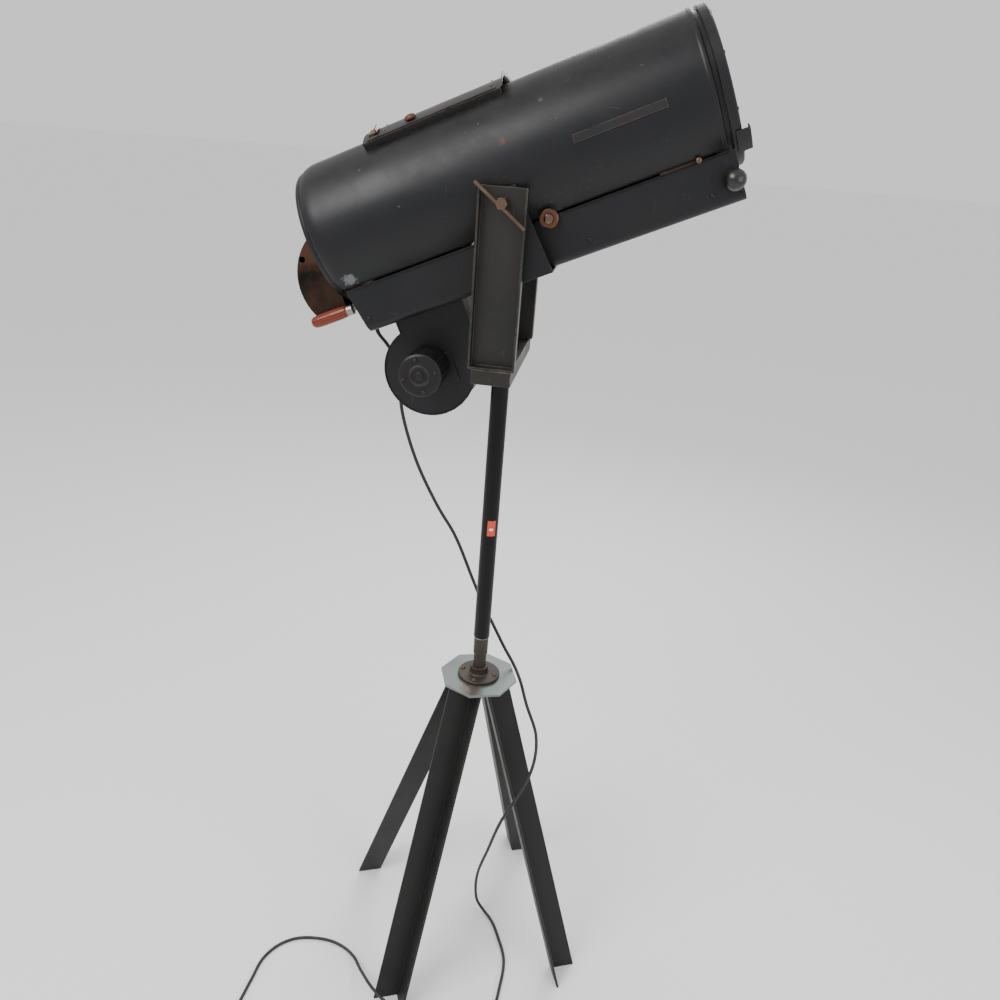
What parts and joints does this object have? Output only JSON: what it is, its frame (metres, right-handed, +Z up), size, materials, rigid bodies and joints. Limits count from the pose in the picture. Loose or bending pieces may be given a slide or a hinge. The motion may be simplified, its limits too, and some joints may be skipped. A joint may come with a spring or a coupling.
{
  "type": "tripod floor lamp",
  "caption": "Theatre spotlight head in a tilting yoke on a pole and a raked angle-iron stand, with fan housing, lens tube and supply cord.",
  "frame": {"origin": "on the pole's axis at floor level, under the middle of the feet", "axes": "+Z up, +X the way the head points in plan, -Y the side with the tilt clamp and the switch"},
  "size_m": [0.8212, 0.7226, 1.9917],
  "materials": {
    "stand_paint": "satin, scratched",
    "yoke_paint": "satin, worn edges",
    "black_paint": "satin, scratched",
    "worn_black": "worn, brown",
    "bare_steel": "dull",
    "brown_steel": "browned",
    "copper_brown": "browned, satin",
    "chrome": "polished",
    "red_wood": "varnished",
    "glass": "polished",
    "bulb_glass": "clear",
    "ceramic": "matt ceramic",
    "mirror": "polished",
    "black_plastic": "gloss",
    "cord_rubber": "matt"
  },
  "bodies": {
    "stand": {"base_plate": "stand_paint", "leg_1": "stand_paint", "leg_2": "stand_paint", "leg_3": "stand_paint", "leg_4": "stand_paint", "floor_flange": "black_paint", "flange_screw_1": "bare_steel", "flange_screw_2": "bare_steel", "flange_screw_3": "bare_steel", "flange_screw_4": "bare_steel", "nipple_pipe": "worn_black", "pipe_coupling": "black_paint", "bearing_ring": "bare_steel", "cord_lower": "cord_rubber", "cord_coil": "cord_rubber", "plug_body": "black_plastic", "plug_prong_1": "bare_steel", "plug_prong_2": "bare_steel"},
    "yoke": {"pole_sleeve": "yoke_paint", "yoke_cross_member": "yoke_paint", "yoke_arm_near": "yoke_paint", "yoke_arm_far": "yoke_paint", "tilt_bolt_far": "brown_steel", "tilt_washer_near": "brown_steel", "tilt_washer_far": "brown_steel", "cord_upper": "cord_rubber"},
    "clamp": {"tilt_clamp_handle": "brown_steel"},
    "head": {"barrel_shell": "black_paint", "rear_cap": "black_paint", "tray": "black_paint", "cradle": "black_paint", "front_bezel": "black_paint", "front_lens": "glass", "gel_clip_near": "black_paint", "gel_clip_far": "black_paint", "reflector": "mirror", "lamp_socket": "ceramic", "lamp_bulb": "bulb_glass", "rail_near": "bare_steel", "rail_far": "bare_steel", "switch_bezel": "copper_brown", "rear_cover": "copper_brown", "handle_ferrule": "bare_steel", "handle_grip": "red_wood", "cord_gland": "black_plastic", "blower_housing": "black_paint", "motor_body": "black_paint", "motor_cap": "black_paint", "motor_bracket": "black_paint", "trim_ornament": "bare_steel", "hatch_hinge": "bare_steel"},
    "hatch": {"hatch_lid": "black_paint"},
    "hatch_turn": {"hatch_knob": "copper_brown"},
    "carriage": {"lens_carriage": "bare_steel", "carriage_lens": "glass"},
    "fan": {"impeller": "bare_steel"},
    "shutter": {"shutter_blade": "worn_black", "shutter_knob": "black_plastic"},
    "button": {"switch_button": "chrome"}
  },
  "joints": [
    {"name": "pan", "type": "hinge", "parent": "stand", "child": "yoke", "pos_m": [0, 0, 0.9], "axis": [0, 0, 1], "range_deg": [-170, 170]},
    {"name": "tilt", "type": "hinge", "parent": "yoke", "child": "head", "pos_m": [0, 0, 1.6864], "axis": [0, -1, 0], "range_deg": [-72, 0]},
    {"name": "clamp_turn", "type": "hinge", "parent": "yoke", "child": "clamp", "pos_m": [0, 0, 1.6864], "axis": [0, -1, 0], "range_deg": [-180, 180]},
    {"name": "hatch_open", "type": "hinge", "parent": "head", "child": "hatch", "pos_m": [-0.06295, 0.06815, 1.82647], "axis": [-0.9121, 0, -0.4099], "range_deg": [0, 110]},
    {"name": "hatch_lock", "type": "hinge", "parent": "hatch", "child": "hatch_turn", "pos_m": [-0.17104, -0.05232, 1.79619], "axis": [-0.3773, -0.3907, 0.8396], "range_deg": [0, 90]},
    {"name": "focus", "type": "slide", "parent": "head", "child": "carriage", "axis": [0.9121, 0, 0.4099], "range_m": [-0.208, 0]},
    {"name": "fan_spin", "type": "hinge", "parent": "head", "child": "fan", "pos_m": [-0.13055, 0, 1.38653], "axis": [0, 1, 0], "continuous": true},
    {"name": "shutter_lift", "type": "hinge", "parent": "head", "child": "shutter", "pos_m": [0.34852, 0, 1.74765], "axis": [0, 1, 0], "range_deg": [0, 42]},
    {"name": "button_press", "type": "slide", "parent": "head", "child": "button", "axis": [0, 1, 0], "range_m": [0, 0.0022], "stiffness_N_per_m": 400, "springref_m": -0.001}
  ]
}
